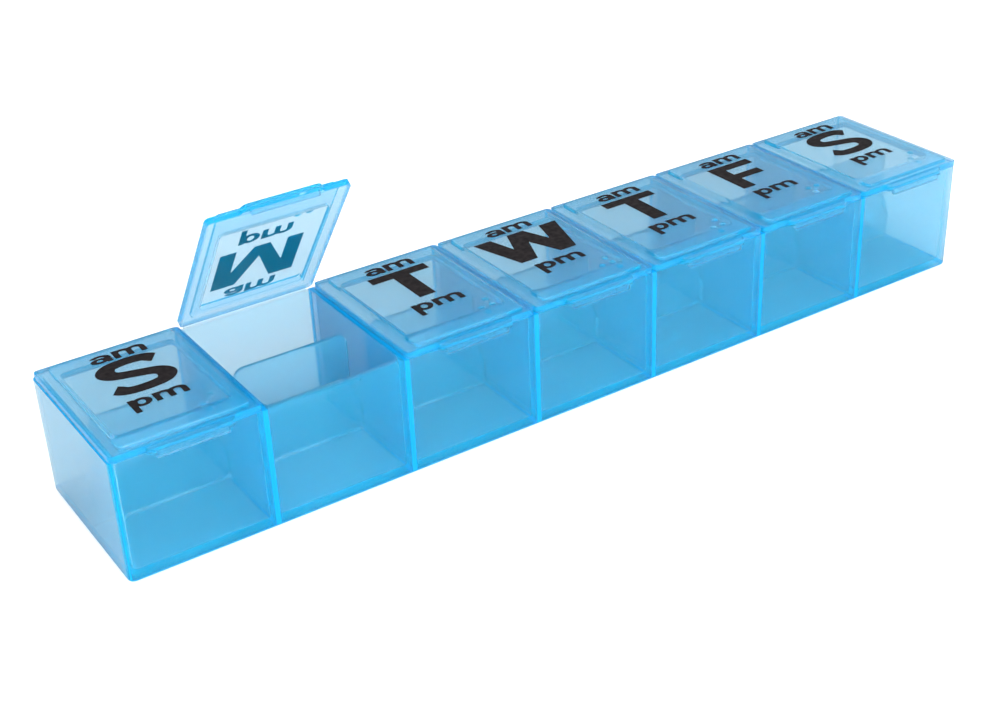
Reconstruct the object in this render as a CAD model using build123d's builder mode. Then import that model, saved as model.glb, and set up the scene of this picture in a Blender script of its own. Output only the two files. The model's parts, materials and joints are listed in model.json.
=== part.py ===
"""Weekly pill organizer with seven twice-a-day compartments, in millimetres.

One long tray holds seven equal compartments, Sunday to Saturday, side by side along X.
A thin upright panel parts each compartment into a rear "am" cell and a front "pm" cell.
Each compartment has its own snap lid, joined to the tray by a living hinge along the rear rim.

Frame: origin at the centre of the tray's flat underside, +X from Sunday to Saturday,
+Y from the thumb tabs to the hinges, +Z up. The Monday lid stands part open at rest.
"""

import os

from build123d import *

# ---------------------------------------------------------------- driving dimensions
DAYS = ["sunday", "monday", "tuesday", "wednesday", "thursday", "friday", "saturday"]
OPEN_DAY = "monday"
OPEN_ANGLE = 54.0  # how far the open lid has turned from closed, in degrees

PITCH = 28.5  # from one compartment to the next
DEPTH = 36.7  # tray, front face to rear face
HEIGHT = 24.3  # tray, underside to rim
WALL = 1.5  # tray walls, inside and outside
FLOOR = 1.5
TRAY_CORNER = 1.3  # outer upright edges
FOOT_EDGE = 0.7  # outer edge all round the underside
RIM_EDGE = 0.25  # small rounding of the outer rim
CELL_CORNER = 0.8  # upright corners inside each compartment
CELL_FOOT = 0.5  # rounding where walls meet the floor inside
FACE_MARGIN = 0.01  # for picking a face by its height

DIVIDER_THICK = 1.2
DIVIDER_GAP = 0.06  # fit of the divider between its cross walls and on the floor
DIVIDER_DROP = 1.4  # from the rim down to the divider's top edge
DIVIDER_INSET = 1.8  # its upper part stands this far in from each cross wall
DIVIDER_WAIST = 11.0  # from its top down to where the sides start to slope out
DIVIDER_FLARE = 5.0  # height over which they reach the walls
DIVIDER_ROUND = 1.9  # top corners
DIVIDER_EDGE = 0.36  # rounding along the top edge

LID_GAP = 0.4  # between neighbouring lids
SEAT_GAP = 0.05  # under a closed lid, over the rim
FLANGE_THICK = 1.25
FLANGE_CORNER = 0.9
PANEL_RISE = 0.8  # the panel stands this far over the flange
PANEL_LEFT = 2.5  # panel insets from the pitch lines and from the tray's faces
PANEL_RIGHT = 2.1
PANEL_FRONT = 0.9
PANEL_REAR = 1.2
PANEL_CORNER = 1.0
PANEL_EDGE = 0.35
POCKET_SIDE = 1.1  # wall left between the panel's edge and the pocket under it
POCKET_FRONT = 5.6
POCKET_REAR = 4.3
POCKET_CORNER = 1.0
PLATE_THICK = 0.8  # what is left over the pocket

TAB_WIDTH = 16.2
TAB_OFFSET = 0.4  # tab's middle, to the right of the compartment's middle
TAB_REACH = 1.45  # in front of the tray's front face
LIP_THICK = 0.9
LIP_DROP = 0.9  # below the rim
TAB_ROOT = 0.2  # the tab starts this far inside the flange's front edge
TAB_STEP = 0.15  # the tab's top lies this much lower than the flange's

BEAD_LENGTH = 8.2
BEAD_RADIUS = 0.35
BEAD_DROP = 0.55  # bead's middle below the rim

HINGE_WIDTH = 26.0
HINGE_RADIUS = 0.3
HINGE_GAP = 0.3  # between the hinge bead and the lid's rear edge

DOT_PITCH = 2.4  # standard touch-reading cell
DOT_RADIUS = 0.75
DOT_RISE = 0.45
CELL_RIGHT = 5.65  # first dot column, right of the compartment's middle
CELL_FRONT = 3.2  # lowest dot row, behind the tray's front face
DOTS = {  # raised dots of each day's first letter, as (column, row) from the front left
    "sunday": [(0, 1), (0, 0), (1, 2)],
    "monday": [(0, 2), (0, 0), (1, 2)],
    "tuesday": [(0, 1), (0, 0), (1, 2), (1, 1)],
    "wednesday": [(0, 1), (1, 2), (1, 1), (1, 0)],
    "thursday": [(0, 1), (0, 0), (1, 2), (1, 1)],
    "friday": [(0, 2), (0, 1), (1, 2)],
    "saturday": [(0, 1), (0, 0), (1, 2)],
}

# ---------------------------------------------------------------- worked-out dimensions
LENGTH = PITCH * len(DAYS)
FRONT = -DEPTH / 2
REAR = DEPTH / 2
HINGE_Y = REAR - HINGE_RADIUS
HINGE_Z = HEIGHT + HINGE_RADIUS
LID_REAR = -(HINGE_RADIUS + HINGE_GAP)  # lid's rear edge, measured from the hinge axis
LID_FRONT = FRONT - HINGE_Y  # lid's front edge, flush with the tray's front face
LID_UNDER = HEIGHT + SEAT_GAP - HINGE_Z
FLANGE_TOP = LID_UNDER + FLANGE_THICK
PANEL_TOP = FLANGE_TOP + PANEL_RISE
DIVIDER_TOP = HEIGHT - DIVIDER_DROP


def middle(index):
    """X of the middle of one compartment's pitch."""
    return (index + 0.5) * PITCH - LENGTH / 2


def cell_span(index):
    """X of the left and right walls inside one compartment."""
    left = middle(index) - PITCH / 2 + (WALL if index == 0 else WALL / 2)
    right = middle(index) + PITCH / 2 - (WALL if index == len(DAYS) - 1 else WALL / 2)
    return left, right


# ---------------------------------------------------------------- tray
def make_tray():
    """The long open box: floor, four outer walls, six cross walls, seven snap beads."""
    with BuildPart() as tray:
        with BuildSketch(Plane.XY):
            RectangleRounded(LENGTH, DEPTH, TRAY_CORNER)
        extrude(amount=HEIGHT)
        fillet(tray.faces().sort_by(Axis.Z)[0].edges(), radius=FOOT_EDGE)
        fillet(tray.faces().sort_by(Axis.Z)[-1].edges(), radius=RIM_EDGE)

        for index in range(len(DAYS)):
            left, right = cell_span(index)
            with BuildSketch(Plane.XY.offset(FLOOR)):
                with Locations(((left + right) / 2, 0)):
                    RectangleRounded(right - left, DEPTH - 2 * WALL, CELL_CORNER)
            extrude(amount=HEIGHT, mode=Mode.SUBTRACT)
        level_faces = tray.faces().filter_by(Axis.Z)
        inner_floor = level_faces.filter_by_position(Axis.Z, FLOOR - FACE_MARGIN, FLOOR + FACE_MARGIN)
        fillet(inner_floor.edges(), radius=CELL_FOOT)

        for index in range(len(DAYS)):
            bead_left = middle(index) + TAB_OFFSET - BEAD_LENGTH / 2
            with BuildSketch(Plane.YZ.offset(bead_left)):
                with Locations((FRONT, HEIGHT - BEAD_DROP)):
                    Circle(BEAD_RADIUS)
            extrude(amount=BEAD_LENGTH)
    return tray.part


# ---------------------------------------------------------------- am/pm dividers
def make_divider(index):
    """An upright panel across the compartment: wide at the foot, narrower above, round at the top."""
    left, right = cell_span(index)
    left, right, foot = left + DIVIDER_GAP, right - DIVIDER_GAP, FLOOR + DIVIDER_GAP
    waist = DIVIDER_TOP - DIVIDER_WAIST
    hip = waist - DIVIDER_FLARE
    with BuildPart() as divider:
        with BuildSketch(Plane.XZ.offset(-DIVIDER_THICK / 2)) as outline:
            with BuildLine():
                Polyline(
                    (left, foot + CELL_FOOT),
                    (left, hip),
                    (left + DIVIDER_INSET, waist),
                    (left + DIVIDER_INSET, DIVIDER_TOP),
                    (right - DIVIDER_INSET, DIVIDER_TOP),
                    (right - DIVIDER_INSET, waist),
                    (right, hip),
                    (right, foot + CELL_FOOT),
                    (right - CELL_FOOT, foot),
                    (left + CELL_FOOT, foot),
                    close=True,
                )
            make_face()
            fillet(outline.vertices().group_by(Axis.Y)[-1], radius=DIVIDER_ROUND)
        extrude(amount=DIVIDER_THICK)
        top_edges = divider.edges().filter_by(Axis.X).group_by(Axis.Z)[-1]
        fillet(top_edges, radius=DIVIDER_EDGE)
    return divider.part


# ---------------------------------------------------------------- lids
def make_lid(index, angle):
    """Flange, raised hollow panel, thumb tab with its lip, and raised dots.

    It is drawn on a plane whose origin is the hinge axis, so it stands wherever it is turned.
    """
    tilt = Rotation(-angle, 0, 0)
    hinge = Plane(Location((middle(index), HINGE_Y, HINGE_Z)) * tilt)
    flange_length = LID_REAR - LID_FRONT
    half = PITCH / 2
    panel_left, panel_right = -half + PANEL_LEFT, half - PANEL_RIGHT
    panel_front, panel_rear = LID_FRONT + PANEL_FRONT, LID_REAR - PANEL_REAR
    pocket_left, pocket_right = panel_left + POCKET_SIDE, panel_right - POCKET_SIDE
    pocket_front, pocket_rear = LID_FRONT + POCKET_FRONT, LID_REAR - POCKET_REAR

    with BuildPart() as lid:
        with BuildSketch(hinge.offset(LID_UNDER)):
            with Locations((0, (LID_FRONT + LID_REAR) / 2)):
                RectangleRounded(PITCH - LID_GAP, flange_length, FLANGE_CORNER)
        extrude(amount=FLANGE_THICK)

        with BuildSketch(hinge.offset(FLANGE_TOP)):
            with Locations(((panel_left + panel_right) / 2, (panel_front + panel_rear) / 2)):
                RectangleRounded(panel_right - panel_left, panel_rear - panel_front, PANEL_CORNER)
        extrude(amount=PANEL_RISE)
        fillet(lid.faces().sort_by(Axis(hinge.origin, hinge.z_dir))[-1].edges(), radius=PANEL_EDGE)

        with BuildSketch(hinge.offset(LID_UNDER)):
            with Locations(((pocket_left + pocket_right) / 2, (pocket_front + pocket_rear) / 2)):
                RectangleRounded(pocket_right - pocket_left, pocket_rear - pocket_front, POCKET_CORNER)
        extrude(amount=PANEL_TOP - PLATE_THICK - LID_UNDER, mode=Mode.SUBTRACT)

        tab_front = LID_FRONT - TAB_REACH
        with BuildSketch(hinge.offset(LID_UNDER)):
            with BuildLine():
                start = (TAB_OFFSET - TAB_WIDTH / 2, LID_FRONT + TAB_ROOT)
                end = (TAB_OFFSET + TAB_WIDTH / 2, LID_FRONT + TAB_ROOT)
                Polyline(end, start, (start[0], LID_FRONT))
                RadiusArc((start[0], LID_FRONT), (start[0] + TAB_REACH, tab_front), -TAB_REACH)
                Line((start[0] + TAB_REACH, tab_front), (end[0] - TAB_REACH, tab_front))
                RadiusArc((end[0] - TAB_REACH, tab_front), (end[0], LID_FRONT), -TAB_REACH)
                Line((end[0], LID_FRONT), end)
            make_face()
        extrude(amount=FLANGE_THICK - TAB_STEP)
        with BuildSketch(hinge.offset(LID_UNDER - SEAT_GAP - LIP_DROP)):
            with Locations((TAB_OFFSET, tab_front + LIP_THICK / 2)):
                Rectangle(TAB_WIDTH - 2 * TAB_REACH, LIP_THICK)
        extrude(amount=LIP_DROP + SEAT_GAP + FLANGE_THICK / 2)

        spots = []
        for column, row in DOTS[DAYS[index]]:
            spots.append((CELL_RIGHT + column * DOT_PITCH, LID_FRONT + CELL_FRONT + row * DOT_PITCH))
        ball = (DOT_RADIUS**2 + DOT_RISE**2) / (2 * DOT_RISE)
        with Locations([hinge * Location((x, y, PANEL_TOP + DOT_RISE - ball)) for x, y in spots]):
            Sphere(ball)
    return lid.part


# ---------------------------------------------------------------- living hinges
def make_hinge(index):
    """The thin flexing strip between the rear rim and the lid, as a bead on the hinge axis."""
    with BuildPart() as strip:
        with BuildSketch(Plane.YZ.offset(middle(index) - HINGE_WIDTH / 2)):
            with Locations((HINGE_Y, HINGE_Z)):
                Circle(HINGE_RADIUS)
            with Locations((HINGE_Y, HINGE_Z - HINGE_RADIUS / 2)):
                Rectangle(2 * HINGE_RADIUS, HINGE_RADIUS)
        extrude(amount=HINGE_WIDTH)
    return strip.part


# ---------------------------------------------------------------- build and write
def write(part, name):
    """Label one piece and write it to its own file."""
    part.label = name
    export_step(part, f"parts/{name}.step")
    print(f"{name}: {part.volume:.1f} mm3")


os.makedirs("parts", exist_ok=True)
write(make_tray(), "tray")
for number, day in enumerate(DAYS):
    write(make_divider(number), f"divider_{day}")
    write(make_lid(number, OPEN_ANGLE if day == OPEN_DAY else 0.0), f"lid_{day}")
    write(make_hinge(number), f"hinge_{day}")
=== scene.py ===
"""Dresses the weekly pill organizer: seven twice-a-day compartments in tinted clear plastic.

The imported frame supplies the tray, its dividers and the seven snap lids. This script gives them
their moulded finish, adds the printed legends and the thin living-hinge webs, and sets a plain
studio round them. Every length is in metres unless a name says millimetres.
"""

import json
import logging
import math
from dataclasses import dataclass, field
from enum import Enum

import bpy
import numpy as np
from mathutils import Matrix, Vector
from mathutils.geometry import delaunay_2d_cdt

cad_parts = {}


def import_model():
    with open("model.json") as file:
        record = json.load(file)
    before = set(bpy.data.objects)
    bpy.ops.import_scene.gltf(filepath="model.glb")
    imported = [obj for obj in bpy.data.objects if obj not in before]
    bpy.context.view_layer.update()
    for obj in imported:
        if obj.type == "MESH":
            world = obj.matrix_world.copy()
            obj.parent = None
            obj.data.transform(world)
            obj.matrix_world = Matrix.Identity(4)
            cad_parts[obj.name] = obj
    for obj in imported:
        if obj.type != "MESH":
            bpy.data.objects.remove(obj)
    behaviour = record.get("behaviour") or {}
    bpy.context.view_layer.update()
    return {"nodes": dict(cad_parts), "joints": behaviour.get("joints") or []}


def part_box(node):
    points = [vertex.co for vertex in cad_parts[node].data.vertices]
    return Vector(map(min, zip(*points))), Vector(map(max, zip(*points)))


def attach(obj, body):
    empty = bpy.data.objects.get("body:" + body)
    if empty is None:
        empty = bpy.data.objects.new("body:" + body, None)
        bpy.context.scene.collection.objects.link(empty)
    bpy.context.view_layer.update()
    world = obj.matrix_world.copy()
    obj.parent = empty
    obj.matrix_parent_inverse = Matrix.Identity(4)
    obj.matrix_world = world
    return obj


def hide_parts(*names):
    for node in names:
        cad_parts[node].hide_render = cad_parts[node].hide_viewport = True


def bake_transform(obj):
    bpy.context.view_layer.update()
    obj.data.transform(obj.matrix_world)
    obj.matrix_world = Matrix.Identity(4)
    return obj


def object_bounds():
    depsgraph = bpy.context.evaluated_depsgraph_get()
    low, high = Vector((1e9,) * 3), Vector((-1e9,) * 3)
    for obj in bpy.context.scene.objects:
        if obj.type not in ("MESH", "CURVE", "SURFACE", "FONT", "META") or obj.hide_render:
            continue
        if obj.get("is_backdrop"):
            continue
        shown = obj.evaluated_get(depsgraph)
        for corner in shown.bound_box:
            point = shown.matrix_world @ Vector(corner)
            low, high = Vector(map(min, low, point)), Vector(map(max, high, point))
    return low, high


log = logging.getLogger("pill_organizer")

MM = 0.001
WHITE = (1.0, 1.0, 1.0, 1.0)
Colour = tuple[float, float, float, float]
Point = tuple[float, float]


class Day(Enum):
    """The seven compartments, each with the capital that its lid shows."""

    SUNDAY = ("sunday", "S")
    MONDAY = ("monday", "M")
    TUESDAY = ("tuesday", "T")
    WEDNESDAY = ("wednesday", "W")
    THURSDAY = ("thursday", "T")
    FRIDAY = ("friday", "F")
    SATURDAY = ("saturday", "S")

    @property
    def word(self) -> str:
        """The day's name as the node names spell it."""
        return self.value[0]

    @property
    def capital(self) -> str:
        """The capital on the day's lid."""
        return self.value[1]


# ------------------------------------------------------------------ node helpers
def new_material(name: str) -> tuple[bpy.types.Material, bpy.types.NodeTree]:
    """Makes an empty node material.

    Args:
        name: the material's name.

    Returns:
        The material and its node tree.
    """
    material = bpy.data.materials.new(name)
    material.use_nodes = True
    material.node_tree.nodes.clear()
    return material, material.node_tree


def add_node(tree: bpy.types.NodeTree, kind: str, **inputs: object) -> bpy.types.Node:
    """Adds a shader node and sets its sockets by name.

    Args:
        tree: the node tree.
        kind: the node's type name without its "ShaderNode" prefix.
        inputs: socket values, with underscores for the spaces in their names.

    Returns:
        The new node.
    """
    node = tree.nodes.new("ShaderNode" + kind)
    for key, value in inputs.items():
        node.inputs[key.replace("_", " ")].default_value = value
    return node


@dataclass(frozen=True)
class Pattern:
    """A noise pattern on Object coordinates.

    Attributes:
        scale: features per metre.
        detail: octaves.
        stretch: how much finer the pattern is across Y and Z than along X.
    """

    scale: float
    detail: float
    stretch: Point = (1.0, 1.0)

    def add(self, tree: bpy.types.NodeTree) -> bpy.types.NodeSocket:
        """Adds the pattern to a node tree.

        Args:
            tree: the node tree.

        Returns:
            The pattern's socket.
        """
        place = tree.nodes.new("ShaderNodeTexCoord")
        mapping = add_node(tree, "Mapping", Scale=(1.0, *self.stretch))
        pattern = add_node(tree, "TexNoise", Scale=self.scale, Detail=self.detail, Roughness=0.55)
        tree.links.new(place.outputs["Object"], mapping.inputs["Vector"])
        tree.links.new(mapping.outputs["Vector"], pattern.inputs["Vector"])
        return pattern.outputs[0]


FLOW_MARKS = Pattern(scale=38.0, detail=3.0, stretch=(0.55, 0.8))
HAZE = Pattern(scale=210.0, detail=4.0)
MOULD_GRAIN = Pattern(scale=5200.0, detail=2.0)
INK_PATCHES = Pattern(scale=900.0, detail=4.0)
INK_PEEL = Pattern(scale=6000.0, detail=2.0)
PAPER_TONE = Pattern(scale=3.0, detail=2.0)


def spread(
    tree: bpy.types.NodeTree, pattern: bpy.types.NodeSocket, low: float, high: float
) -> bpy.types.NodeSocket:
    """Spreads a pattern's middle range over low to high.

    Args:
        tree: the node tree.
        pattern: the pattern's socket.
        low: value where the pattern is weakest.
        high: value where it is strongest.

    Returns:
        The spread value's socket.
    """
    ranged = add_node(tree, "MapRange", From_Min=0.3, From_Max=0.7, To_Min=low, To_Max=high)
    tree.links.new(pattern, ranged.inputs["Value"])
    return ranged.outputs[0]


def shade_between(
    tree: bpy.types.NodeTree, share: bpy.types.NodeSocket, weak: Colour, strong: Colour
) -> bpy.types.NodeSocket:
    """A colour between two, by a share from nothing to one.

    Args:
        tree: the node tree.
        share: the share's socket.
        weak: the colour where the share is nothing.
        strong: the colour where it is one.

    Returns:
        The colour's socket.
    """
    shade = tree.nodes.new("ShaderNodeMix")
    shade.data_type = "RGBA"
    shade.inputs["A"].default_value = weak
    shade.inputs["B"].default_value = strong
    tree.links.new(share, shade.inputs["Factor"])
    return shade.outputs["Result"]


def join_shaders(
    tree: bpy.types.NodeTree, kind: str, one: bpy.types.Node, other: bpy.types.Node
) -> bpy.types.Node:
    """Joins two shaders with an Add Shader or Mix Shader node.

    Args:
        tree: the node tree.
        kind: "AddShader" or "MixShader".
        one: the first shader.
        other: the second shader.

    Returns:
        The joining node, whose first input is the share on a Mix Shader.
    """
    joint = tree.nodes.new("ShaderNode" + kind)
    first = len(joint.inputs) - 2
    tree.links.new(one.outputs[0], joint.inputs[first])
    tree.links.new(other.outputs[0], joint.inputs[first + 1])
    return joint


def measure(
    tree: bpy.types.NodeTree, operation: str, *operands: float | bpy.types.NodeSocket
) -> bpy.types.NodeSocket:
    """One step of arithmetic on sockets and numbers.

    Args:
        tree: the node tree.
        operation: the Math node's operation.
        operands: its operands, each a number or a socket.

    Returns:
        The result's socket.
    """
    step = tree.nodes.new("ShaderNodeMath")
    step.operation = operation
    for socket, operand in zip(step.inputs, operands):
        if isinstance(operand, (int, float)):
            socket.default_value = operand
        else:
            tree.links.new(operand, socket)
    return step.outputs[0]


def within(
    tree: bpy.types.NodeTree, distance: bpy.types.NodeSocket, full: float, none: float
) -> bpy.types.NodeSocket:
    """One where a distance is below full, falling smoothly to nothing at none.

    Args:
        tree: the node tree.
        distance: the distance's socket.
        full: distance up to which the result is one.
        none: distance from which it is nothing.

    Returns:
        The result's socket.
    """
    fade = add_node(tree, "MapRange", From_Min=full, From_Max=none, To_Min=1.0, To_Max=0.0)
    fade.interpolation_type = "SMOOTHSTEP"
    tree.links.new(distance, fade.inputs["Value"])
    return fade.outputs[0]


# ------------------------------------------------------------------ where the plastic is thick
@dataclass(frozen=True)
class TraySeams:
    """The lines where the tray's walls and floor meet and the dye looks deepest.

    A point is on such a line where it is close to two of these at once: a cross wall's middle or an
    end face along X, the front or rear face along Y, the underside along Z. The cross walls, always
    seen at a slant, look a little deeper all over.
    """

    pitch: float
    end: float
    face: float
    rim: float
    full: float = 0.35 * MM
    none: float = 0.8 * MM
    rim_band: Point = (0.1 * MM, 0.4 * MM)
    wall_band: Point = (0.85 * MM, 1.1 * MM)
    wall_share: float = 0.4
    end_margin: float = 1.0 * MM

    def build(self, tree: bpy.types.NodeTree) -> bpy.types.NodeSocket:
        """Adds the pattern to a node tree.

        Args:
            tree: the node tree.

        Returns:
            A socket that is one on the seams, a share of it on the cross walls and nothing elsewhere.
        """
        place = tree.nodes.new("ShaderNodeTexCoord")
        axes = tree.nodes.new("ShaderNodeSeparateXYZ")
        tree.links.new(place.outputs["Object"], axes.inputs[0])
        x, y, z = axes.outputs
        wall = measure(tree, "PINGPONG", measure(tree, "ADD", x, self.end), self.pitch / 2)
        across = within(tree, wall, self.full, self.none)
        facing = within(
            tree, measure(tree, "SUBTRACT", self.face, measure(tree, "ABSOLUTE", y)), self.full, self.none
        )
        foot = within(tree, z, self.full, self.none)
        top = within(tree, measure(tree, "SUBTRACT", self.rim, z), *self.rim_band)
        pairs = ((across, facing), (facing, foot), (foot, across), (across, top))
        joined = None
        for one, other in pairs:
            both = measure(tree, "MULTIPLY", one, other)
            joined = both if joined is None else measure(tree, "MAXIMUM", joined, both)
        inner = measure(tree, "LESS_THAN", measure(tree, "ABSOLUTE", x), self.end - self.end_margin)
        hidden = measure(tree, "MAXIMUM", measure(tree, "SUBTRACT", inner, facing), 0.0)
        slab = measure(tree, "MULTIPLY", within(tree, wall, *self.wall_band), self.wall_share)
        return measure(tree, "MAXIMUM", joined, measure(tree, "MULTIPLY", slab, hidden))


@dataclass(frozen=True)
class LidSeams:
    """The flange's outer edge, seen end-on, where the dye looks deepest (metres in the lid's frame)."""

    pivot: tuple[float, float, float]
    opened: float
    half_width: float
    front: float
    rear: float
    full: float = 0.15 * MM
    none: float = 0.55 * MM

    def build(self, tree: bpy.types.NodeTree) -> bpy.types.NodeSocket:
        """Adds the pattern to a node tree.

        Args:
            tree: the node tree.

        Returns:
            A socket that is one on the flange's edge and nothing further in.
        """
        place = tree.nodes.new("ShaderNodeTexCoord")
        back = add_node(tree, "Mapping", Location=self.pivot, Rotation=(-self.opened, 0.0, 0.0))
        back.vector_type = "TEXTURE"
        axes = tree.nodes.new("ShaderNodeSeparateXYZ")
        tree.links.new(place.outputs["Object"], back.inputs["Vector"])
        tree.links.new(back.outputs["Vector"], axes.inputs[0])
        x, y = axes.outputs[0], axes.outputs[1]
        side = measure(tree, "SUBTRACT", self.half_width, measure(tree, "ABSOLUTE", x))
        fore = measure(tree, "ABSOLUTE", measure(tree, "SUBTRACT", y, self.front))
        aft = measure(tree, "SUBTRACT", self.rear, y)
        nearest = measure(tree, "MINIMUM", measure(tree, "MINIMUM", side, fore), aft)
        return within(tree, nearest, self.full, self.none)


# ------------------------------------------------------------------ finishes
@dataclass(frozen=True)
class TintedPlastic:
    """Clear polypropylene with blue dye: light goes through it, scatters a little and turns blue.

    Attributes:
        name: the material's name.
        gloss: roughness in the smooth and the hazy places.
        tint: what one surface lets through, strongest and weakest along the flow marks.
        body: the dye's own colour where light stops in it.
        cover: how much of a surface shows the body colour.
        depth_tint: scattering colour inside the wall.
        density: how strongly the wall's thickness counts, per metre.
        grain: height of the mould's fine texture.
        index: index of refraction.
        sheen: strength of the moulded skin's own soft reflection.
        seam_cover: how much of the surface shows the body colour along the seams.
        cover_swing: how far the cover strays from its middle along the flow marks, as a share.
    """

    name: str
    gloss: Point
    tint: tuple[Colour, Colour] = ((0.80, 0.935, 0.96, 1), (0.85, 0.95, 0.97, 1))
    body: Colour = (0.012, 0.43, 0.82, 1)
    cover: float = 0.07
    depth_tint: Colour = (0.01, 0.76, 0.995, 1)
    density: float = 210.0
    grain: float = 0.012 * MM
    index: float = 1.17
    sheen: float = 0.4
    seam_cover: float = 0.8
    cover_swing: float = 0.15

    def make(self, seams: TraySeams | LidSeams | None = None) -> bpy.types.Material:
        """Builds the node material.

        Args:
            seams: where the piece is thick end-on, if it has such lines.

        Returns:
            The finished material.
        """
        material, tree = new_material(self.name)
        out = tree.nodes.new("ShaderNodeOutputMaterial")
        flow = FLOW_MARKS.add(tree)

        clear = add_node(
            tree,
            "BsdfPrincipled",
            Transmission_Weight=1.0,
            IOR=self.index,
            Coat_Weight=self.sheen,
            Coat_IOR=1.5,
            Coat_Roughness=0.2,
        )
        streaks = shade_between(tree, spread(tree, flow, 0.0, 1.0), *self.tint)
        tree.links.new(streaks, clear.inputs["Base Color"])
        tree.links.new(spread(tree, HAZE.add(tree), *self.gloss), clear.inputs["Roughness"])
        grain = add_node(tree, "Bump", Strength=0.35, Distance=self.grain)
        tree.links.new(MOULD_GRAIN.add(tree), grain.inputs["Height"])
        tree.links.new(grain.outputs["Normal"], clear.inputs["Normal"])

        lit = add_node(tree, "BsdfDiffuse", Color=self.body)
        glow = add_node(tree, "BsdfTranslucent", Color=self.body)
        skin = join_shaders(tree, "MixShader", clear, join_shaders(tree, "MixShader", lit, glow))
        least, most = (self.cover * (1 + swing) for swing in (-self.cover_swing, self.cover_swing))
        cover = spread(tree, flow, least, most)
        if seams is not None:
            deep = measure(tree, "MULTIPLY", seams.build(tree), self.seam_cover)
            cover = measure(tree, "MAXIMUM", deep, cover)
        tree.links.new(cover, skin.inputs[0])
        tree.links.new(skin.outputs[0], out.inputs["Surface"])

        scatter = add_node(tree, "VolumeScatter", Color=self.depth_tint, Density=self.density)
        absorb = add_node(tree, "VolumeAbsorption", Color=self.depth_tint, Density=self.density)
        wall = join_shaders(tree, "AddShader", scatter, absorb)
        tree.links.new(wall.outputs[0], out.inputs["Volume"])
        return material


@dataclass(frozen=True)
class PrintedInk:
    """Opaque pad-printed ink: near black and satin, with thinner and thicker patches."""

    name: str
    thin: Colour
    thick: Colour
    gloss: Point
    relief: float = 0.02 * MM

    def make(self) -> bpy.types.Material:
        """Builds the node material.

        Returns:
            The finished material.
        """
        material, tree = new_material(self.name)
        out = tree.nodes.new("ShaderNodeOutputMaterial")
        ink = add_node(tree, "BsdfPrincipled", IOR=1.45, Specular_IOR_Level=0.1)
        patches = INK_PATCHES.add(tree)
        shade = shade_between(tree, spread(tree, patches, 0.0, 1.0), self.thin, self.thick)
        tree.links.new(shade, ink.inputs["Base Color"])
        tree.links.new(spread(tree, patches, *self.gloss), ink.inputs["Roughness"])
        peel = add_node(tree, "Bump", Strength=0.25, Distance=self.relief)
        tree.links.new(INK_PEEL.add(tree), peel.inputs["Height"])
        tree.links.new(peel.outputs["Normal"], ink.inputs["Normal"])
        tree.links.new(ink.outputs[0], out.inputs["Surface"])
        return material


@dataclass(frozen=True)
class PaleSweep:
    """The studio's white floor: a little brighter to the eye than it is as a light for the object."""

    name: str
    low: Colour
    high: Colour
    lift: float

    def make(self) -> bpy.types.Material:
        """Builds the node material.

        Returns:
            The finished material.
        """
        material, tree = new_material(self.name)
        out = tree.nodes.new("ShaderNodeOutputMaterial")
        paper = tree.nodes.new("ShaderNodeBsdfDiffuse")
        tone = shade_between(tree, PAPER_TONE.add(tree), self.low, self.high)
        tree.links.new(tone, paper.inputs["Color"])
        glow = add_node(tree, "Emission", Color=WHITE)
        path = tree.nodes.new("ShaderNodeLightPath")
        gain = measure(tree, "MULTIPLY", path.outputs["Is Camera Ray"], self.lift)
        tree.links.new(gain, glow.inputs["Strength"])
        both = join_shaders(tree, "AddShader", paper, glow)
        tree.links.new(both.outputs[0], out.inputs["Surface"])
        return material


@dataclass(frozen=True)
class Finishes:
    """Every finish on the organizer."""

    tray: TintedPlastic = TintedPlastic(name="tray_plastic", gloss=(0.10, 0.19))
    divider: TintedPlastic = TintedPlastic(name="divider_plastic", gloss=(0.12, 0.22))
    lid: TintedPlastic = TintedPlastic(
        name="lid_plastic",
        gloss=(0.08, 0.16),
        tint=((0.82, 0.945, 0.96, 1), (0.87, 0.96, 0.97, 1)),
        depth_tint=(0.01, 0.68, 0.98, 1),
        density=200.0,
        grain=0.015 * MM,
        seam_cover=0.35,
    )
    web: TintedPlastic = TintedPlastic(
        name="hinge_plastic",
        gloss=(0.14, 0.26),
        tint=((0.84, 0.95, 1.0, 1), (0.9, 0.97, 1.0, 1)),
        body=(0.1, 0.66, 1.0, 1),
        cover=0.12,
        depth_tint=(0.05, 0.85, 0.999, 1),
        density=240.0,
        grain=0.02 * MM,
    )
    ink: PrintedInk = PrintedInk(
        name="legend_ink",
        thin=(0.010, 0.007, 0.008, 1),
        thick=(0.004, 0.003, 0.004, 1),
        gloss=(0.5, 0.7),
    )


# ------------------------------------------------------------------ mesh helpers
def mesh_piece(
    name: str, points: np.ndarray, faces: list[tuple[int, ...]], material: bpy.types.Material
) -> bpy.types.Object:
    """Makes a mesh object from arrays, at the origin with its place in its mesh.

    Args:
        name: the piece's name.
        points: (n, 3) corners in metres.
        faces: corner numbers of each face.
        material: the finish.

    Returns:
        The new object.
    """
    mesh = bpy.data.meshes.new(name)
    mesh.from_pydata(points.tolist(), [], faces)
    mesh.materials.append(material)
    mesh.update()
    piece = bpy.data.objects.new(name, mesh)
    bpy.context.scene.collection.objects.link(piece)
    return piece


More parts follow.
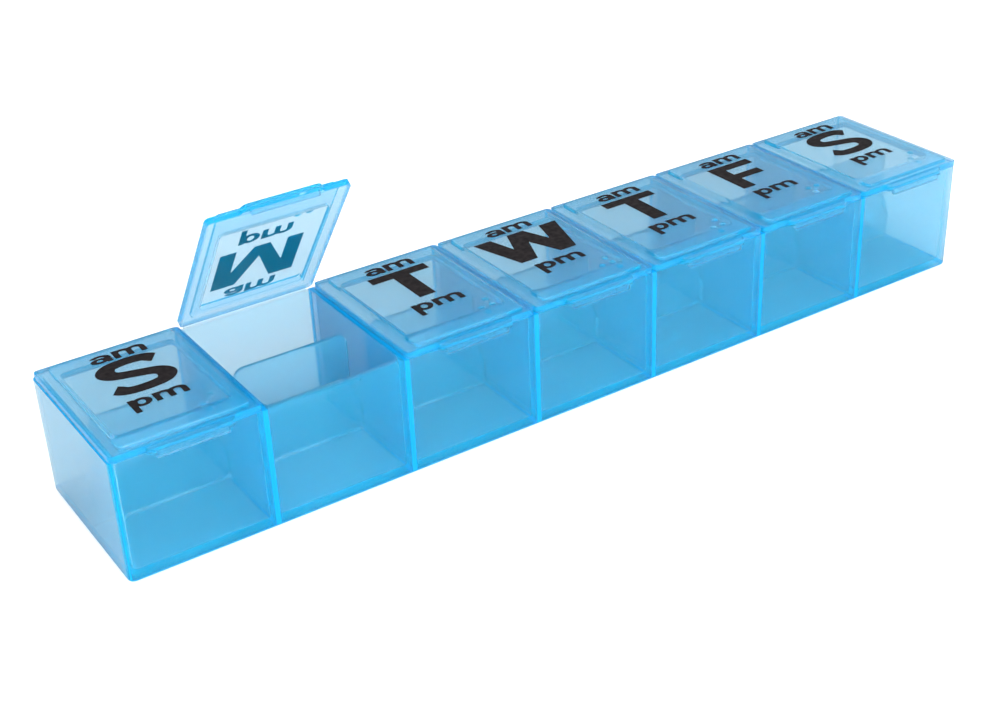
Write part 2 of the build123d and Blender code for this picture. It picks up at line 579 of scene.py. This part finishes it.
def grid_quads(rows: int, columns: int, wrap: bool) -> list[tuple[int, ...]]:
    """Faces of a grid of points held row by row.

    Args:
        rows: number of rows.
        columns: number of points in a row.
        wrap: whether each row closes on itself.

    Returns:
        Four corner numbers for each face, joining a point to the next in its row and in the next row.
    """
    across = columns if wrap else columns - 1
    row, column = np.meshgrid(np.arange(rows - 1), np.arange(across), indexing="ij")
    after = (column + 1) % columns
    corners = (
        row * columns + column,
        row * columns + after,
        (row + 1) * columns + after,
        (row + 1) * columns + column,
    )
    return [tuple(quad) for quad in np.stack([c.ravel() for c in corners], axis=1)]


# ------------------------------------------------------------------ letterforms
@dataclass(frozen=True)
class Nib:
    """A broad nib: a stroke is thick where it runs upright and thin where it runs level (mm)."""

    upright: float
    level: float

    def widths(self, along: np.ndarray) -> np.ndarray:
        """Stroke width for unit directions.

        Args:
            along: (n, 2) unit directions.

        Returns:
            (n,) widths: the root of the sum of squares of the two shares.
        """
        return np.hypot(self.level * along[:, 0], self.upright * along[:, 1])


def bow(middle: Point, outer: Point, inner: Point, start: float, end: float, steps: int = 20) -> np.ndarray:
    """The quads of a letter's bow, the band between two ellipses about one middle.

    Args:
        middle: the ellipses' middle, in mm.
        outer: half width and half height of the outer one.
        inner: half width and half height of the counter.
        start: first angle, in degrees from the right.
        end: last angle, further round to the left.
        steps: number of quads.

    Returns:
        (steps, 4, 2) corners: middle plus each ellipse's radii times cosine and sine of the angle.
    """
    angle = np.radians(np.linspace(start, end, steps + 1))
    ray = np.stack([np.cos(angle), np.sin(angle)], axis=1)
    far, near = (np.array(middle) + np.array(radii) * ray for radii in (outer, inner))
    return np.stack([far[:-1], far[1:], near[1:], near[:-1]], axis=1)


def smooth_line(posts: list[Point], steps: int = 8) -> np.ndarray:
    """A smooth line through posts.

    Args:
        posts: points that the line passes, in mm.
        steps: spans between two posts.

    Returns:
        Points of the Catmull-Rom cubic through the posts, with its ends carried straight on.
    """
    p = np.array(posts, float)
    p = np.vstack([2 * p[0] - p[1], p, 2 * p[-1] - p[-2]])
    t = np.linspace(0.0, 1.0, steps, endpoint=False)[None, :, None]
    a, b, c, d = (p[i : len(p) - 3 + i][:, None, :] for i in range(4))
    line = 0.5 * (2 * b + (c - a) * t + (2 * a - 5 * b + 4 * c - d) * t**2 + (3 * b - a - 3 * c + d) * t**3)
    return np.vstack([line.reshape(-1, 2), p[-2]])


def ribbon(line: np.ndarray, nib: Nib) -> np.ndarray:
    """The quads of a stroke along a line.

    Args:
        line: (n, 2) points of the stroke's middle.
        nib: the nib that draws it.

    Returns:
        (n - 1, 4, 2) corners: the line offset to both sides by half the nib's width there.
    """
    along = np.gradient(line, axis=0)
    along /= np.linalg.norm(along, axis=1, keepdims=True)
    side = np.stack([-along[:, 1], along[:, 0]], axis=1) * nib.widths(along)[:, None] / 2
    left, right = line + side, line - side
    return np.stack([right[:-1], right[1:], left[1:], left[:-1]], axis=1)


Letter = tuple[list[np.ndarray], float]


@dataclass(frozen=True)
class Letterforms:
    """A plain bold extended face, drawn from strokes, in mm with the baseline at zero.

    Each letter is a list of convex shapes with its width.
    """

    capital_height: float = 12.3
    small_height: float = 2.95
    tail: float = 1.75
    heavy: Nib = Nib(upright=3.6, level=2.4)
    curved: Nib = Nib(upright=3.7, level=2.5)
    light: Nib = Nib(upright=1.15, level=0.72)

    def letter(self, name: str) -> Letter:
        """Shapes of one letter.

        Args:
            name: F, M, S, T or W, or the small a, m or p.

        Returns:
            Its convex shapes and its width.
        """
        forms = {
            "F": self.capital_f,
            "M": self.capital_m,
            "S": self.capital_s,
            "T": self.capital_t,
            "W": self.capital_w,
            "a": self.small_a,
            "m": self.small_m,
            "p": self.small_p,
        }
        return forms[name]()

    def capital_t(self) -> Letter:
        """The capital T: a bar on a stem."""
        width, top, stem = 12.8, self.capital_height, self.heavy.upright
        left = (width - stem) / 2
        bar = self.block(0, top - self.heavy.level, width, top)
        return [bar, self.block(left, 0, left + stem, top)], width

    def capital_f(self) -> Letter:
        """The capital F: a stem, a bar, and a shorter arm a little under half way up."""
        width, arm, middle = 11.2, 9.9, 0.48
        top, bar = self.capital_height, self.heavy.level
        level = middle * top
        shapes = [
            self.block(0, 0, self.heavy.upright - 0.2, top),
            self.block(0, top - bar, width, top),
            self.block(0, level - bar / 2, arm, level + bar / 2),
        ]
        return shapes, width

    def capital_m(self) -> Letter:
        """The capital M: two stems, and two slopes that meet on the baseline."""
        width, stem, foot = 17.0, self.heavy.upright - 0.3, 1.6
        top, middle = self.capital_height, width / 2
        slope = [(middle - foot, 0), (middle + foot, 0), (4.9, top), (0.9, top)]
        stems = [self.block(0, 0, stem, top), self.block(width - stem, 0, width, top)]
        return stems + self.mirrored(slope, width), width

    def capital_w(self) -> Letter:
        """The capital W: two outer and two inner slopes on shared feet."""
        width, peak = 20.2, 2.0
        top, middle = self.capital_height, width / 2
        foot = [(3.4, 0), (7.3, 0)]
        outer = foot + [(4.1, top), (0, top)]
        inner = foot + [(middle + peak, top), (middle - peak, top)]
        return self.mirrored(outer, width) + self.mirrored(inner, width), width

    def capital_s(self) -> Letter:
        """The capital S: one smooth stroke from its upper to its lower end."""
        upper = [(11.5, 9.9), (9.6, 11.2), (6.4, 11.5), (3.3, 10.9), (2.0, 9.1), (3.2, 7.4)]
        lower = [(9.9, 5.2), (11.2, 3.4), (9.9, 1.5), (6.6, 0.9), (3.2, 1.2), (1.2, 2.6)]
        return list(ribbon(smooth_line(upper + [(6.5, 6.3)] + lower), self.curved)), 13.2

    def small_m(self) -> Letter:
        """The small m: a stem and two arches, each with its leg."""
        width, top, stem, thin = 6.2, self.small_height, self.light.upright, self.light.level
        gap = (width - stem) / 2
        rise = 1.12
        spring = top - rise
        shapes = [self.block(0, 0, stem, top)]
        for start in (0.0, gap):
            middle = (start + (stem + gap) / 2, spring)
            outer, inner = ((gap + stem) / 2, rise), ((gap - stem) / 2, rise - thin)
            shapes += list(bow(middle, outer, inner, 0, 180))
            shapes.append(self.block(start + gap, 0, start + gap + stem, spring))
        return shapes, width

    def small_p(self) -> Letter:
        """The small p: a stem with a tail and a round bowl."""
        width, half, stem, thin = 4.1, 1.85, self.light.upright, self.light.level
        middle = self.small_height / 2
        bowl = bow((width - half, middle), (half, middle), (half - stem, middle - thin), 0, 360, steps=40)
        return [self.block(0, -self.tail, stem, self.small_height), *bowl], width

    def small_a(self) -> Letter:
        """The small a: a low bowl, a stem, and a hood over both."""
        width, half, low = 4.0, 1.75, 0.98
        hood_half, hood_rise = 1.95, 1.1
        shoulder = self.small_height - hood_rise
        bowl = bow((half, low), (half, low), (0.62, 0.36), 0, 360, steps=40)
        hood = bow((width - hood_half, shoulder), (hood_half, hood_rise), (0.82, 0.42), 0, 160)
        return [self.block(width - self.light.upright, 0, width, shoulder), *bowl, *hood], width

    @staticmethod
    def block(left: float, low: float, right: float, high: float) -> np.ndarray:
        """An upright rectangle."""
        return np.array([(left, low), (right, low), (right, high), (left, high)], float)

    @staticmethod
    def mirrored(shape: list[Point], width: float) -> list[np.ndarray]:
        """A shape and its mirror image about the letter's middle."""
        one = np.array(shape, float)
        other = one[::-1] * (-1, 1) + (width, 0)
        return [one, other]


# ------------------------------------------------------------------ the lids' own frame
@dataclass(frozen=True)
class LidFrame:
    """Where one lid stands: x right, y to the rear and z outward from its hinge axis at rest."""

    pivot: tuple[float, float, float]
    opened: float

    def place(self, local_mm: np.ndarray) -> np.ndarray:
        """Carries points on the closed lid to where the lid stands.

        Args:
            local_mm: (n, 3) points from the hinge axis, in mm, with the lid closed.

        Returns:
            (n, 3) points in metres, turned up about X by the opening angle and moved to the axis.
        """
        return self.turn(local_mm, np.full(len(local_mm), self.opened)) * MM + np.array(self.pivot)

    @staticmethod
    def turn(local_mm: np.ndarray, angles: np.ndarray) -> np.ndarray:
        """Turns each point about X by its own angle: cosine and sine carry y into z."""
        x, y, z = local_mm.T
        c, s = np.cos(angles), np.sin(angles)
        return np.stack([x, y * c + z * s, z * c - y * s], axis=1)


def lid_frame(joints: list[dict], day: Day) -> LidFrame:
    """Reads a lid's place from its joint: the low limit is the closed lid.

    Args:
        joints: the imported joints.
        day: the compartment.

    Returns:
        The lid's frame.
    """
    joint = next(j for j in joints if j["child"] == f"lid_{day.word}")
    return LidFrame(tuple(joint["pos_m"]), -math.radians(joint["range_deg"][0]))


# ------------------------------------------------------------------ sub-assemblies
@dataclass
class TrayBody:
    """The one-piece tray and its seven drop-in dividers, dressed as they are."""

    finishes: Finishes
    pieces: list[bpy.types.Object] = field(default_factory=list)

    def dress(self, nodes: dict[str, bpy.types.Object]) -> None:
        """Gives the tray and the dividers their plastic.

        Args:
            nodes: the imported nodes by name.
        """
        low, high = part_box("tray")
        seams = TraySeams(pitch=(high.x - low.x) / len(Day), end=high.x, face=high.y, rim=high.z)
        tray = self.finishes.tray.make(seams)
        divider = self.finishes.divider.make()
        for name, node in nodes.items():
            if name == "tray" or name.startswith("divider_"):
                finish(node, tray if name == "tray" else divider)
                self.pieces.append(node)


def finish(node: bpy.types.Object, material: bpy.types.Material) -> None:
    """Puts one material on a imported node.

    Args:
        node: the node's object.
        material: its finish.
    """
    if not node.material_slots:
        node.data.materials.append(material)
    for slot in node.material_slots:
        slot.material = material


@dataclass
class Lid:
    """One snap lid: its plastic, and the legends printed on its raised panel (mm in its frame)."""

    day: Day
    frame: LidFrame
    top: float = 1.8
    ink_thick: float = 0.03
    ink_lift: float = 0.004
    middle: float = 0.35
    flange_front: float = -36.4
    flange_rear: float = -0.6
    capital_base: float = -20.3
    upper_base: float = -6.95
    lower_base: float = -25.45
    letter_gap: float = 0.45

    def dress(self, node: bpy.types.Object, plastic: TintedPlastic) -> None:
        """Gives the lid its plastic, deepest along the flange's edge.

        Args:
            node: the lid's object.
            plastic: the lids' finish.
        """
        low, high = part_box(node.name)
        half = (high.x - low.x) / 2
        front, rear = self.flange_front * MM, self.flange_rear * MM
        seams = LidSeams(self.frame.pivot, self.frame.opened, half, front, rear)
        finish(node, plastic.make(seams))

    def print_legends(self, face: Letterforms, ink: bpy.types.Material) -> list[bpy.types.Object]:
        """Prints the day's capital with "am" behind it and "pm" in front.

        Args:
            face: the letterforms.
            ink: the ink.

        Returns:
            The three printed pieces, riding on the lid.
        """
        rows = (
            ("capital", self.capital_base, self.day.capital),
            ("am", self.upper_base, "am"),
            ("pm", self.lower_base, "pm"),
        )
        return [self.print_row(tag, base, [face.letter(c) for c in row], ink) for tag, base, row in rows]

    def print_row(
        self, tag: str, base: float, letters: list[Letter], ink: bpy.types.Material
    ) -> bpy.types.Object:
        """Prints one row of letters, centred on the panel.

        Args:
            tag: what the row is called in the piece's name.
            base: the row's baseline, in mm from the hinge axis.
            letters: shapes and width of each letter.
            ink: the ink.

        Returns:
            The printed piece, a closed film of ink on the panel.
        """
        total = sum(width for _, width in letters) + self.letter_gap * (len(letters) - 1)
        left = self.middle - total / 2
        shapes = []
        for forms, width in letters:
            shapes += [form + (left, base) for form in forms]
            left += width + self.letter_gap
        corners, faces = self.outline(shapes)
        low = self.top + self.ink_lift
        film = [np.column_stack([corners, np.full(len(corners), z)]) for z in (low, low + self.ink_thick)]
        count = len(corners)
        bottom = [tuple(reversed(f)) for f in faces]
        upper = [tuple(i + count for i in f) for f in faces]
        walls = [(a, b, b + count, a + count) for a, b in self.rim(faces)]
        points = self.frame.place(np.vstack(film))
        piece = mesh_piece(f"legend_{self.day.word}_{tag}", points, bottom + upper + walls, ink)
        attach(piece, f"lid_{self.day.word}")
        return piece

    @staticmethod
    def outline(shapes: list[np.ndarray]) -> tuple[np.ndarray, list[tuple[int, ...]]]:
        """Melts overlapping flat shapes into one, cut into triangles that face up.

        Args:
            shapes: convex polygons, turning left.

        Returns:
            The corners and the triangles.
        """
        corners, faces = [], []
        for shape in shapes:
            faces.append(list(range(len(corners), len(corners) + len(shape))))
            corners += [Vector(p) for p in shape]
        inside_only, merge_mm = 1, 1e-4
        made = delaunay_2d_cdt(corners, [], faces, inside_only, merge_mm)
        spots, cells, sources = made[0], made[2], made[5]
        inked = [tuple(cell) for cell, source in zip(cells, sources) if source]
        return np.array([tuple(spot) for spot in spots]), inked

    @staticmethod
    def rim(faces: list[tuple[int, ...]]) -> list[tuple[int, int]]:
        """The edges that only one face uses, in that face's direction."""
        edges = [(f[i], f[(i + 1) % len(f)]) for f in faces for i in range(len(f))]
        used = set(edges)
        return [(a, b) for a, b in edges if (b, a) not in used]


@dataclass
class LivingHinge:
    """The thin flexing web from the tray's rear rim to the lid, in mm from the hinge axis."""

    day: Day
    frame: LidFrame
    width: float = 26.0
    thick: float = 0.32
    sections: int = 27
    steps: int = 6
    posts: tuple[Point, ...] = ((0.12, -0.42), (0.27, -0.1), (0.2, 0.3), (-0.15, 0.52), (-0.72, 0.5))

    def middle_line(self) -> np.ndarray:
        """The web's middle line with the lid closed, y to the rear and z up."""
        return smooth_line(list(self.posts), self.steps)

    def shares(self, line: np.ndarray) -> np.ndarray:
        """How far each point of the line follows the lid: smoothly from none to all of its turn."""
        run = line[-1] - line[0]
        t = np.clip((line - line[0]) @ run / (run @ run), 0.0, 1.0)
        return t * t * (3 - 2 * t)

    def build(self, plastic: bpy.types.Material) -> bpy.types.Object:
        """Makes the web as a closed band carried along X, bent as far as its lid stands open.

        Args:
            plastic: the finish.

        Returns:
            The web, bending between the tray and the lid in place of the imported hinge.
        """
        line = self.middle_line()
        along = np.gradient(line, axis=0)
        along /= np.linalg.norm(along, axis=1, keepdims=True)
        side = np.stack([along[:, 1], -along[:, 0]], axis=1) * self.thick / 2
        share = self.shares(line)
        ring = np.vstack([line + side, (line - side)[::-1]])
        ring_share = np.concatenate([share, share[::-1]])
        count = len(ring)
        x = np.repeat(np.linspace(-self.width / 2, self.width / 2, self.sections), count)
        local = np.column_stack([x, np.tile(ring, (self.sections, 1))])
        points = self.bend(local, np.tile(ring_share, self.sections))
        faces = grid_quads(self.sections, count, wrap=True)
        last = (self.sections - 1) * count
        for i in range(len(line) - 1):
            cap = (i, i + 1, count - 2 - i, count - 1 - i)
            faces.append(cap)
            faces.append(tuple(last + corner for corner in reversed(cap)))
        piece = mesh_piece(f"hinge_web_{self.day.word}", points, faces, plastic)
        ends = self.bend(np.array([[0.0, *line[0]], [0.0, *line[-1]]]), np.array([0.0, 1.0]))
        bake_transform(piece)
        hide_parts(f"hinge_{self.day.word}")
        return piece

    def bend(self, local_mm: np.ndarray, shares: np.ndarray) -> np.ndarray:
        """Turns points about the hinge axis by their shares of the lid's turn.

        Args:
            local_mm: (n, 3) points from the hinge axis, in mm, with the lid closed.
            shares: (n,) shares, from nothing at the tray to one at the lid.

        Returns:
            (n, 3) points in metres.
        """
        turned = self.frame.turn(local_mm, shares * self.frame.opened)
        return turned * MM + np.array(self.frame.pivot)


# ------------------------------------------------------------------ studio
@dataclass(frozen=True)
class SoftBox:
    """One soft studio light: where it hangs, what it faces, its size and its strength."""

    name: str
    place: tuple[float, float, float]
    size: Point
    watts: float

    def hang(self, target: Vector) -> None:
        """Hangs the light so that it faces the target.

        Args:
            target: the point it faces.
        """
        lamp = bpy.data.lights.new(self.name, "AREA")
        lamp.shape = "RECTANGLE"
        lamp.size, lamp.size_y = self.size
        lamp.energy = self.watts
        holder = bpy.data.objects.new(self.name, lamp)
        holder.location = self.place
        holder.rotation_euler = (target - Vector(self.place)).to_track_quat("-Z", "Y").to_euler()
        bpy.context.scene.collection.objects.link(holder)


@dataclass
class Studio:
    """A plain white sweep, even sky light, soft boxes and the camera."""

    sky: float = 0.81
    sweep: PaleSweep = PaleSweep("floor_paper", (0.82, 0.82, 0.825, 1), (0.84, 0.84, 0.84, 1), 0.3)
    floor_half: float = 3.0
    floor_drop: float = 0.2 * MM
    floor_lines: int = 9
    surface_bounces: int = 32
    clear_bounces: int = 64
    volume_bounces: int = 12
    eye: tuple[float, float, float] = (-0.1649, -0.2387, 0.1662)
    aim: tuple[float, float, float] = (-0.0135, -0.0041, 0.0083)
    roll: float = math.radians(-2.4467)
    lens: float = 57.65
    sensor: float = 36.0
    clip_start: float = 0.01
    boxes: tuple[SoftBox, ...] = (
        SoftBox("overhead_box", (0.0, 0.1, 0.6), (0.8, 0.8), 2.0),
        SoftBox("front_box", (-0.15, -0.75, 0.25), (0.7, 0.5), 12.0),
    )

    def build(self) -> None:
        """Builds the floor, the lights and the camera."""
        self.lay_floor()
        self.light()
        self.set_camera()
        scene = bpy.context.scene
        scene.view_settings.view_transform = "Standard"
        scene.cycles.max_bounces = self.surface_bounces
        scene.cycles.transmission_bounces = self.surface_bounces
        scene.cycles.transparent_max_bounces = self.clear_bounces
        scene.cycles.volume_bounces = self.volume_bounces

    def lay_floor(self) -> None:
        """Lays the floor just under the tray's feet."""
        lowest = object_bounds()[0].z - self.floor_drop
        steps = np.linspace(-self.floor_half, self.floor_half, self.floor_lines)
        x, y = np.meshgrid(steps, steps, indexing="xy")
        points = np.column_stack([x.ravel(), y.ravel(), np.full(x.size, lowest)])
        faces = grid_quads(self.floor_lines, self.floor_lines, wrap=False)
        floor = mesh_piece("floor", points, faces, self.sweep.make())
        floor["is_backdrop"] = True

    def light(self) -> None:
        """Sets the even sky, full white to the eye, and hangs the soft boxes."""
        world = bpy.data.worlds.new("studio_sky")
        world.use_nodes = True
        bpy.context.scene.world = world
        tree = world.node_tree
        tree.nodes.clear()
        out = tree.nodes.new("ShaderNodeOutputWorld")
        lit = add_node(tree, "Background", Color=WHITE, Strength=self.sky)
        seen = add_node(tree, "Background", Color=WHITE, Strength=1.0)
        path = tree.nodes.new("ShaderNodeLightPath")
        pick = join_shaders(tree, "MixShader", lit, seen)
        tree.links.new(path.outputs["Is Camera Ray"], pick.inputs[0])
        tree.links.new(pick.outputs[0], out.inputs["Surface"])
        low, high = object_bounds()
        for box in self.boxes:
            box.hang((low + high) / 2)

    def set_camera(self) -> None:
        """Sets the camera: it looks from the eye to the aim and is rolled a little about that line."""
        eye, aim = Vector(self.eye), Vector(self.aim)
        ahead = (aim - eye).normalized()
        right = ahead.cross(Vector((0, 0, 1))).normalized()
        up = right.cross(ahead)
        c, s = math.cos(self.roll), math.sin(self.roll)
        rows = (c * right + s * up, c * up - s * right, -ahead)
        turn = Matrix(rows).transposed().to_4x4()
        turn.translation = eye
        lens = bpy.data.cameras.new("camera")
        lens.lens = self.lens
        lens.sensor_width = self.sensor
        lens.clip_start = self.clip_start
        holder = bpy.data.objects.new("camera", lens)
        holder.matrix_world = turn
        bpy.context.scene.collection.objects.link(holder)
        bpy.context.scene.camera = holder


def main() -> None:
    """Builds and dresses the sub-assemblies in order and reports each piece."""
    logging.basicConfig(level=logging.INFO, format="%(name)s: %(message)s")
    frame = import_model()
    nodes, joints = frame["nodes"], frame["joints"]
    finishes = Finishes()

    Studio().build()
    tray = TrayBody(finishes)
    tray.dress(nodes)
    for piece in tray.pieces:
        log.info("%s dressed", piece.name)

    web_plastic = finishes.web.make()
    ink = finishes.ink.make()
    face = Letterforms()
    for day in Day:
        place = lid_frame(joints, day)
        lid = Lid(day, place)
        lid.dress(nodes[f"lid_{day.word}"], finishes.lid)
        legends = lid.print_legends(face, ink)
        web = LivingHinge(day, place).build(web_plastic)
        log.info("lid_%s dressed, with %s and %s", day.word, ", ".join(p.name for p in legends), web.name)


if __name__ == "__main__":
    main()
